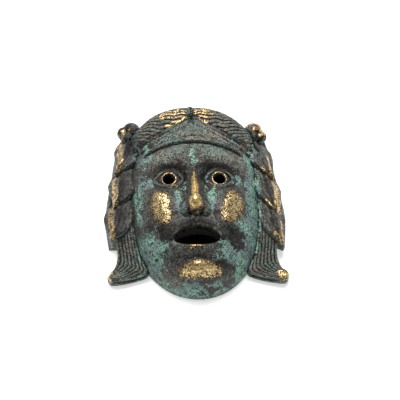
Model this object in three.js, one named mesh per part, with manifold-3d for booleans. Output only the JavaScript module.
// A hollow cast bronze theatre mask, lying on its rim with the face up.
// The face is an open-mouthed stage face with pierced pupils. A plain bandeau crosses the forehead, and
// waved hair parts above it. A cluster of berries sits at each temple, a twisted ringlet of three turns
// hangs down each side, and each ringlet ends in a combed lock that flares outwards beside the chin.
// It is one casting, so it is one solid.
//
// Units are millimetres. X runs across the face, Y from the chin to the crown, and Z up from the rim.
// The origin is the middle of the footprint, on the plane that the rim stands on.

import * as THREE from "three";
import { mergeVertices } from "three/addons/utils/BufferGeometryUtils.js";
import Module from "manifold-3d";

const wasm = await Module();
wasm.setup();

// The egg-shaped dome that carries the face. Its rim lies at z = 0.
const DOME_HALF_WIDTH = 37;
const DOME_MIDDLE_Y = 2;
const DOME_CROWN_REACH = 62.5;
const DOME_CHIN_REACH = 52.5;
const DOME_HEIGHT = 33;
const DOME_ROUND_X = 2.2;
const DOME_ROUND_Y = 3.2;
const DOME_SHOULDER = 0.44;
const JAW_TAPER = 0.23;

// The wall of the casting, and the height of the shallow hollow behind each ringlet.
const WALL = 3.4;
const POCKET_HEIGHT = 7.5;

// The face, laid out by the classical canon: three equal thirds from hairline to chin,
// five eye widths across, and a nose one eye wide.
const HAIRLINE_Y = 46.5;
const CHIN_Y = -49;
const FACE_THIRD = (HAIRLINE_Y - CHIN_Y) / 3;
const BROW_Y = HAIRLINE_Y - FACE_THIRD;
const NOSE_BASE_Y = BROW_Y - FACE_THIRD;
const EYE_WIDTH = (2 * 34) / 5;
const EYE_X = EYE_WIDTH;
const EYE_Y = BROW_Y - EYE_WIDTH / 2 - 0.8;
const EYE_UP = 4.4;
const EYE_DOWN = 4.2;
const NOSE_HALF_WIDTH = EYE_WIDTH / 2;
const MOUTH_Y = NOSE_BASE_Y - FACE_THIRD / 3 - 1.2;
const PUPIL_RADIUS = 3.5;
const MOUTH_HALF_WIDTH = 12;
const MOUTH_UP = 3.6;
const MOUTH_DOWN = 4.0;

// The whole casting leans a little: its crown stands to the left of its chin, by this per millimetre.
const LEAN = -0.032;

const clamp01 = (t) => Math.min(1, Math.max(0, t));
const mix = (a, b, t) => a + (b - a) * t;
const bell = (d, width) => Math.exp(-((d / width) ** 2));
const ease = (from, to, t) => {
  const s = clamp01((t - from) / (to - from));
  return s * s * (3 - 2 * s);
};

// A value read from a short table of [at, value] pairs, with straight runs between them.
function along(table, t) {
  for (let i = 1; i < table.length; i++) {
    const [t0, v0] = table[i - 1];
    const [t1, v1] = table[i];
    if (t <= t1) return mix(v0, v1, clamp01((t - t0) / (t1 - t0)));
  }
  return table.at(-1)[1];
}

const jawWidth = (y) => 1 - JAW_TAPER * clamp01((DOME_MIDDLE_Y - y) / DOME_CHIN_REACH) ** 2;

// How far a place on the dome's plan is from its middle: 0 at the middle and 1 on the rim.
function domeReach(x, y) {
  const up = y - DOME_MIDDLE_Y;
  const sideways = Math.abs(x) / (DOME_HALF_WIDTH * jawWidth(y));
  const lengthways = Math.abs(up) / (up > 0 ? DOME_CROWN_REACH : DOME_CHIN_REACH);
  return sideways ** DOME_ROUND_X + lengthways ** DOME_ROUND_Y;
}

const domeZ = (x, y) => DOME_HEIGHT * Math.max(0, 1 - domeReach(x, y)) ** DOME_SHOULDER;

// The place on the dome's plan for a place (u, v) in a square from -1 to 1, whose edge is the rim.
function domePlan(u, v) {
  const p = u * Math.sqrt(1 - (v * v) / 2);
  const q = v * Math.sqrt(1 - (u * u) / 2);
  const r = Math.hypot(p, q) || 1;
  let low = 0.5;
  let high = 1.5;
  for (let i = 0; i < 30; i++) {
    const k = (low + high) / 2;
    const out = ((k * Math.abs(p)) / r) ** DOME_ROUND_X + ((k * Math.abs(q)) / r) ** DOME_ROUND_Y;
    if (out > 1) high = k;
    else low = k;
  }
  const y = DOME_MIDDLE_Y + q * low * (q > 0 ? DOME_CROWN_REACH : DOME_CHIN_REACH);
  return [p * low * DOME_HALF_WIDTH * jawWidth(y), y];
}

// The upper edge of each brow.
function browLine(x) {
  return BROW_Y - 1.8 + 3 * Math.sin(Math.PI * clamp01((Math.abs(x) - 2) / 27) ** 0.85);
}

function brow(x, y) {
  const side = Math.abs(x);
  const d = y - browLine(x);
  const ends = ease(0, 6, side) * (1 - ease(23, 31, side));
  return 2.2 * bell(d, d > 0 ? 7 : 3.2) * ends;
}

function eye(x, y) {
  const dx = Math.abs(x) - EYE_X;
  const dy = y - EYE_Y;
  const half = EYE_WIDTH / 2 + 1.2;
  const across = clamp01(1 - (dx / half) ** 2);
  const socket = -4.2 * bell(dx, 10) * bell(dy - 0.5, 7) - 2 * bell(dx + 8, 5) * bell(dy - 1.5, 6);
  const ball = 4.6 * bell(dx, 7) * bell(dy, 5.6);
  const upper = dy - EYE_UP * across ** 0.7;
  const lower = -dy - EYE_DOWN * across ** 0.7;
  const reach = 1 - ease(half - 1, half + 3, Math.abs(dx));
  const lids = (1.2 * bell(upper - 0.9, 1.5) + 0.9 * bell(lower - 0.8, 1.4)) * reach;
  return socket + ball + lids;
}

function nose(x, y) {
  const side = Math.abs(x);
  const tip = NOSE_BASE_Y + 4.4;
  const underside = [[tip - 5, 0.8], [tip - 3.6, 3.6], [tip - 2, 8.2], [tip, 10.7], [tip + 2, 10.4]];
  const bridge = [[tip + 10, 7.8], [BROW_Y - 4, 4.2], [BROW_Y + 3, 2], [BROW_Y + 11, 0]];
  const rise = along([...underside, ...bridge], y);
  const sides = [[tip - 2, 5], [tip + 1, 5], [tip + 9, 3.9], [BROW_Y - 4, 3.8], [BROW_Y + 6, 7]];
  const width = along(sides, y);
  const ridge = rise * Math.exp(-((side / width) ** 2.3));
  const wings = 4.2 * bell(side - NOSE_HALF_WIDTH + 1.6, 2.5) * bell(y - tip + 0.8, 3.2);
  return ridge + wings;
}

function cheeks(x, y) {
  const side = Math.abs(x);
  const bone = 2.2 * bell(side - 21, 9) * bell(y + 2, 8);
  const flesh = 2.2 * bell(side - 17.5, 8) * bell(y + 15, 10);
  const t = clamp01((NOSE_BASE_Y + 4 - y) / 14);
  const foldEnds = ease(0, 0.2, t) * (1 - ease(0.75, 1, t));
  const fold = -0.7 * bell(side - mix(9, 16.5, t ** 0.8), 2.6) * foldEnds;
  return bone + flesh + fold;
}

// The gap between the lips, as a share of its greatest height.
const mouthArch = (x) => clamp01(1 - (x / MOUTH_HALF_WIDTH) ** 2) ** 0.6;

function lips(x, y) {
  const arch = clamp01(1 - (x / (MOUTH_HALF_WIDTH + 2.5)) ** 2);
  const up = y - MOUTH_Y - MOUTH_UP * mouthArch(x);
  const down = MOUTH_Y - y - MOUTH_DOWN * mouthArch(x);
  const upperLip = 2.3 * bell(up - 1.6, 2) * arch ** 0.6;
  const lowerLip = 2.7 * bell(down - 2, 2.2) * arch ** 0.8;
  const muzzle = 2.2 * bell(x, 14) * bell(y - MOUTH_Y - 1, 9);
  return upperLip + lowerLip + muzzle;
}

function chin(x, y) {
  const groove = -1.5 * bell(x, 11) * bell(y - (MOUTH_Y - MOUTH_DOWN - 6), 2.6);
  const ball = 4.6 * bell(x, 10) * bell(y - (CHIN_Y + 5), 6);
  return groove + ball;
}

// Everything that the face adds to the dome, fading out towards the rim.
function faceRelief(x, y) {
  const inside = 1 - ease(0.86, 0.99, domeReach(x, y));
  return (brow(x, y) + eye(x, y) + nose(x, y) + cheeks(x, y) + lips(x, y) + chin(x, y)) * inside;
}

// A smooth curve in plan through a few points.
function edge(points) {
  const places = points.map(([x, y]) => new THREE.Vector3(x, y, 0));
  const curve = new THREE.CatmullRomCurve3(places, false, "centripetal");
  return (t) => {
    const p = curve.getPointAt(clamp01(t));
    return [p.x, p.y];
  };
}

// A closed form moulded from a box: its top and its underside are grids over (u, v) from -1 to 1,
// and shape(u, v, isTop) gives each corner's place.
function moulded(columns, rows, shape) {
  const box = new THREE.BoxGeometry(2, 2, 2, columns, rows, 1);
  const at = box.getAttribute("position");
  for (let i = 0; i < at.count; i++) at.setXYZ(i, ...shape(at.getX(i), at.getY(i), at.getZ(i) > 0));
  return solidOf(box);
}

// The manifold solid of a closed three.js geometry.
function solidOf(geometry) {
  geometry.deleteAttribute("normal");
  geometry.deleteAttribute("uv");
  const merged = mergeVertices(geometry, 1e-3);
  const index = merged.index.array;
  const corners = [];
  for (let i = 0; i < index.length; i += 3) {
    const [a, b, c] = [index[i], index[i + 1], index[i + 2]];
    if (a !== b && b !== c && c !== a) corners.push(a, b, c);
  }
  return new wasm.Manifold(
    new wasm.Mesh({
      numProp: 3,
      vertProperties: merged.getAttribute("position").array,
      triVerts: new Uint32Array(corners),
    }),
  );
}

// The same form on the other side of the face.
function mirrored(shape) {
  return (u, v, isTop) => {
    const [x, y, z] = shape(-u, v, isTop);
    return [-x, y, z];
  };
}

function bothSides(columns, rows, shape) {
  return [moulded(columns, rows, shape), moulded(columns, rows, mirrored(shape))];
}

// A form between an inner and an outer edge in plan, from its root at s = 0 to its tip at s = 1.
// top(s, t, x, y) is its upper surface and foot(s, t, x, y) its underside, with t = 0 on the inner edge.
function between(inner, outer, top, foot) {
  return (u, v, isTop) => {
    const s = (1 - v) / 2;
    const t = (u + 1) / 2;
    const [x0, y0] = inner(s);
    const [x1, y1] = outer(s);
    const x = mix(x0, x1, t);
    const y = mix(y0, y1, t);
    return [x, y, (isTop ? top : foot)(s, t, x, y)];
  };
}

// The face on its dome. Its grid is closest over the eyes, nose and mouth, and down the wall at the rim.
const FACE_COLUMNS = [[-1, -1], [-0.86, -0.92], [-0.6, -0.55], [0.6, 0.55], [0.86, 0.92], [1, 1]];
const FACE_ROWS = [[-1, -1], [-0.9, -0.94], [0.58, 0.3], [0.86, 0.85], [1, 1]];

function faceDome() {
  return bothSides(20, 43, (u, v, isTop) => {
    const [x, y] = domePlan(along(FACE_COLUMNS, (u - 1) / 2), along(FACE_ROWS, v));
    return [x, y, isTop ? domeZ(x, y) + faceRelief(x, y) : 0];
  });
}

// The bandeau: a plain cloth band over the forehead, rising to a point under the parting.
const BAND_LOW = edge([
  [-29, 25.2], [-19, 27.4], [-10, 29], [0, 29.7], [10, 29], [19, 27.4], [29, 25.2],
]);
const BAND_HIGH = edge([
  [-30.5, 32.4], [-19, 35.2], [-9.5, 40.6], [0, 47.6], [9.5, 40.6], [19, 35.2], [30, 32.4],
]);
const BAND_THICKNESS = 1.5;

function bandeau() {
  const top = (s, t, x, y) => {
    const ends = ease(0, 0.07, s) * (1 - ease(0.93, 1, s));
    return domeZ(x, y) - 0.6 + (BAND_THICKNESS + 0.6 + 0.9 * bell(t - 0.14, 0.12)) * ends;
  };
  return moulded(8, 24, between(BAND_LOW, BAND_HIGH, top, (s, t, x, y) => domeZ(x, y) - 3));
}

// The waved hair, combed from the parting over the crown and down to each temple.
const HAIR_LOW = edge([[-0.6, 45], [9, 38.6], [20, 33], [31, 29]]);
const HAIR_RIM = edge([[-0.6, 64], [13, 63], [22.6, 59.6], [29.8, 54.4], [36, 49.6]]);
const HAIR_STRANDS = 10;
const HAIR_THICKNESS = 1.6;
const STRAND_RELIEF = 1.6;

function hair() {
  // t = 0 is the edge on the bandeau and t = 1 the rim behind the crown.
  const shape = (u, v, isTop) => {
    const s = (1 - v) / 2;
    const t = (u + 1) / 2;
    const [x0, y0] = HAIR_LOW(s);
    const [x1, y1] = HAIR_RIM(s);
    const wave = 0.02 * Math.sin(2 * Math.PI * s) * Math.sin(Math.PI * t);
    const over = Math.sin(((t + wave) * Math.PI) / 2) ** 1.1;
    const x = mix(x0, x1, over);
    const y = mix(y0, y1, over);
    if (!isTop) return [x, y, 0];
    const strand = Math.abs(Math.sin(Math.PI * HAIR_STRANDS * t));
    const thin = 1.6 * bell(s, 0.05) + 2.6 * ease(0.92, 1, s) * (1 - t);
    const lift = HAIR_THICKNESS + STRAND_RELIEF * strand - thin;
    const wall = Math.max(0, 1 - over ** 3) ** 0.5;
    return [x, y, (domeZ(x0, y0) + lift) * wall];
  };
  return bothSides(2 * HAIR_STRANDS, 10, shape);
}

// The mass of hair beside the face, which the ringlets lie on. Its wall flares a little towards the rim.
const SIDE_INNER = edge([[26, 51], [27, 30], [29, 5], [30, -12], [32.5, -20]]);
const SIDE_OUTER = edge([
  [37.5, 50], [42, 45], [43.8, 36], [45.4, 25], [47.4, 12], [48.6, -2], [46.6, -20.3],
]);
const SIDE_FLARE = 2.2;
const slopeOutwards = (t) => 14 - 5.5 * t ** 2.2;

// Where an edge that runs from the crown to the chin passes a given y.
function edgeX(curve, y) {
  let low = 0;
  let high = 1;
  for (let i = 0; i < 20; i++) {
    const middle = (low + high) / 2;
    if (curve(middle)[1] > y) low = middle;
    else high = middle;
  }
  return curve(low)[0];
}

// The height of the side hair at a place in plan.
function sideZ(x, y) {
  const inner = edgeX(SIDE_INNER, y);
  const outer = edgeX(SIDE_OUTER, y);
  return slopeOutwards(Math.min(1.05, Math.max(0, (x - inner) / (outer - inner))));
}

function sideHair() {
  const top = (s, t) => slopeOutwards(t) - 4 * ease(0.6, 0.85, s);
  const shape = between(SIDE_INNER, SIDE_OUTER, top, () => 0);
  return bothSides(4, 14, (u, v, isTop) => {
    const [x, y, z] = shape(u, v, isTop);
    return isTop ? [x, y, z] : [x + SIDE_FLARE * ((u + 1) / 2), y, z];
  });
}

// The three turns of a ringlet. Each starts under the one above and ends in a point that lies over the
// next. The left ringlet's turns are rounder, and the right one's are more like leaves.
const LEFT_TURNS = [
  {
    inner: [[30, 46], [29, 41], [28.7, 35], [31.2, 28.6], [36.2, 24.2], [44, 21.4]],
    outer: [[38.4, 48.8], [43, 44.4], [44.8, 39.6], [44.7, 34.6], [44.2, 29.8], [45, 22.4]],
  },
  {
    inner: [[33, 24], [33, 18], [32.8, 12.4], [34.2, 7.2], [38, 2.6], [44.6, -1.4]],
    outer: [[42, 25], [46.8, 20.8], [48.4, 15.6], [47.4, 10.4], [45.9, 6], [45.4, -0.4]],
  },
  {
    inner: [[34, 3], [34.2, -4], [34.6, -10.4], [37, -15.2], [41, -18.6], [46.2, -20]],
    outer: [[43.5, 5], [48.6, 1.4], [50.6, -4], [50.1, -9.4], [48.6, -14.2], [47.2, -19]],
  },
];
const RIGHT_TURNS = [
  {
    inner: [[29, 45], [28.3, 38.4], [30.4, 31], [33.8, 25.6], [38.6, 21.2], [44.8, 17.2]],
    outer: [[38.4, 48], [42.4, 42], [45.1, 36.8], [45.9, 31], [45.6, 25], [45.4, 18.2]],
  },
  {
    inner: [[32.5, 24], [33.8, 18], [33.8, 11.5], [35.4, 5.4], [39.2, 0], [45, -6]],
    outer: [[42, 22.6], [46.6, 18], [48.6, 12.4], [48.5, 6.6], [47.5, 1], [45.8, -5.2]],
  },
  {
    inner: [[34, 3], [34.7, -5], [35.6, -12.6], [38.4, -17.8], [42.4, -21.4], [46.8, -24.2]],
    outer: [[43.5, 3.6], [48.2, -0.6], [49.6, -6], [49.1, -11.4], [48.3, -17], [47.6, -23.6]],
  },
];
const TURN_RELIEF = 3.9;

function ringletTurn({ inner, outer }) {
  const top = (s, t, x, y) => {
    const round = Math.sin(Math.PI * mix(0.14, 0.95, t)) ** 0.75;
    const lap = mix(-2.6, 1.3, ease(0, 0.7, s)) - 1.4 * ease(0.82, 1, s);
    return sideZ(x, y) + TURN_RELIEF * round + lap;
  };
  return between(edge(inner), edge(outer), top, () => 4);
}

function ringlets() {
  const left = LEFT_TURNS.map((turn) => moulded(7, 10, mirrored(ringletTurn(turn))));
  const right = RIGHT_TURNS.map((turn) => moulded(7, 10, ringletTurn(turn)));
  return [...left, ...right];
}

// The combed lock at the foot of each ringlet. It hangs beside the jaw and turns outwards to a blunt
// tip.
const LOCK_INNER = edge([
  [31, -6], [30.8, -20], [29.2, -29], [27.2, -36.4], [33.6, -39.6], [41, -41.4], [47, -42],
]);
const LOCK_OUTER = edge([
  [45, -14], [43.8, -21], [43.2, -26], [43.7, -30.5], [45.3, -34.6], [47.4, -37.6], [49, -40],
]);
const LOCK_STRANDS = 6;

function combedLocks() {
  const top = (s, t) => {
    const strand = 1.2 * Math.abs(Math.sin(Math.PI * LOCK_STRANDS * t)) * (1 - ease(0.9, 1, s));
    const round = Math.sin(Math.PI * mix(0.05, 0.9, t)) ** 0.6;
    const tip = 0.9 * ease(0.75, 0.95, s) - 1.6 * ease(0.975, 1, s);
    return mix(11.5, 4, ease(0, 0.75, s)) + 2.9 * round + strand + tip;
  };
  const shape = between(LOCK_INNER, LOCK_OUTER, top, () => 0);
  return bothSides(2 * LOCK_STRANDS, 13, shape);
}

// The berries at each temple, and the curl that ends the right lock, as [x, y, z, radius].
// The right cluster sits a little lower.
const BERRIES = [
  [-34.4, 50, 13.2, 5.3],
  [-39, 49, 12.6, 3.9],
  [-38.6, 46, 13.4, 3],
  [35.6, 48.6, 13.4, 5.3],
  [39.2, 45.5, 12.8, 4],
  [37.4, 50, 14.2, 3.2],
];
const RIGHT_CURL = [45.2, -39.2, 3.9, 3.8];

function beads() {
  return [...BERRIES, RIGHT_CURL].map(([x, y, z, radius]) =>
    solidOf(new THREE.SphereGeometry(radius, 10, 6).translate(x, y, z)),
  );
}

// The small tuft at the top of the parting.
function crownTuft() {
  return solidOf(new THREE.SphereGeometry(1, 10, 6).scale(1.8, 1.7, 3.6).translate(-0.4, 62.4, 16));
}

// What is taken out from behind: the hollow of the face, and a shallower pocket behind each ringlet.
function hollow() {
  const shrinkX = 1 - WALL / DOME_HALF_WIDTH;
  const shrinkY = 1 - WALL / DOME_CHIN_REACH;
  const face = moulded(14, 16, (u, v, isTop) => {
    const [x, y] = domePlan(along(FACE_COLUMNS, u), along(FACE_ROWS, v));
    const noseHollow = 5 * bell(x, 4) * bell(y + 4, 11);
    const sockets = 2.6 * bell(Math.abs(x) - 10, 6.5) * bell(y - 8, 7);
    const z = isTop ? domeZ(x, y) - WALL * (1 - domeReach(x, y) ** 3) + noseHollow - sockets : -1;
    return [x * shrinkX, DOME_MIDDLE_Y + (y - DOME_MIDDLE_Y) * shrinkY, z];
  });
  const pockets = bothSides(4, 10, (u, v, isTop) => {
    const x = mix(28, 43.5 - 3 * v * v, (u + 1) / 2);
    return [x, 12 + 29 * v, isTop ? POCKET_HEIGHT * (1 - 0.3 * v ** 4) : -1];
  });
  return [face, ...pockets];
}

// The pierced pupils, and the gap between the lips.
function openings() {
  const pupils = [-1, 1].map((side) =>
    solidOf(
      new THREE.CylinderGeometry(PUPIL_RADIUS, PUPIL_RADIUS, 60, 24)
        .rotateX(Math.PI / 2)
        .translate(side * EYE_X, EYE_Y, 30),
    ),
  );
  const outline = new THREE.Shape();
  const steps = 12;
  for (let i = 0; i <= steps; i++) {
    const x = MOUTH_HALF_WIDTH * Math.cos((Math.PI * i) / steps);
    outline[i ? "lineTo" : "moveTo"](x, MOUTH_Y + MOUTH_UP * mouthArch(x));
  }
  for (let i = steps - 1; i > 0; i--) {
    const x = MOUTH_HALF_WIDTH * Math.cos((Math.PI * i) / steps);
    outline.lineTo(x, MOUTH_Y - MOUTH_DOWN * mouthArch(x));
  }
  const mouth = solidOf(new THREE.ExtrudeGeometry(outline, { depth: 60, bevelEnabled: false }));
  return [...pupils, mouth];
}

const below = solidOf(new THREE.BoxGeometry(200, 200, 40).translate(0, 0, -20));
const raised = [
  ...faceDome(),
  bandeau(),
  ...hair(),
  ...sideHair(),
  ...ringlets(),
  ...combedLocks(),
  ...beads(),
  crownTuft(),
];

let casting = raised.reduce((whole, form) => whole.add(form)).subtract(below);
for (const cut of [...hollow(), ...openings()]) casting = casting.subtract(cut);

// The finished solid as a three.js geometry, leaned and centred over its footprint.
function geometryOf(solid) {
  const { vertProperties, triVerts, numProp } = solid.getMesh();
  const places = new Float32Array((vertProperties.length / numProp) * 3);
  for (let i = 0; i < places.length / 3; i++) {
    const [x, y, z] = vertProperties.subarray(i * numProp, i * numProp + 3);
    places.set([x + LEAN * y, y, z], i * 3);
  }
  const geometry = new THREE.BufferGeometry()
    .setAttribute("position", new THREE.BufferAttribute(places, 3))
    .setIndex(new THREE.BufferAttribute(triVerts, 1));
  geometry.computeBoundingBox();
  const middle = geometry.boundingBox.getCenter(new THREE.Vector3());
  geometry.translate(-middle.x, -middle.y, -geometry.boundingBox.min.z);
  geometry.computeVertexNormals();
  return geometry;
}

const patinatedBronze = new THREE.MeshStandardMaterial({
  color: 0x4b5650,
  roughness: 0.55,
  metalness: 0.7,
});
const mask = new THREE.Mesh(geometryOf(casting), patinatedBronze);
mask.name = "mask";

const part = new THREE.Group();
part.add(mask);

export default part;
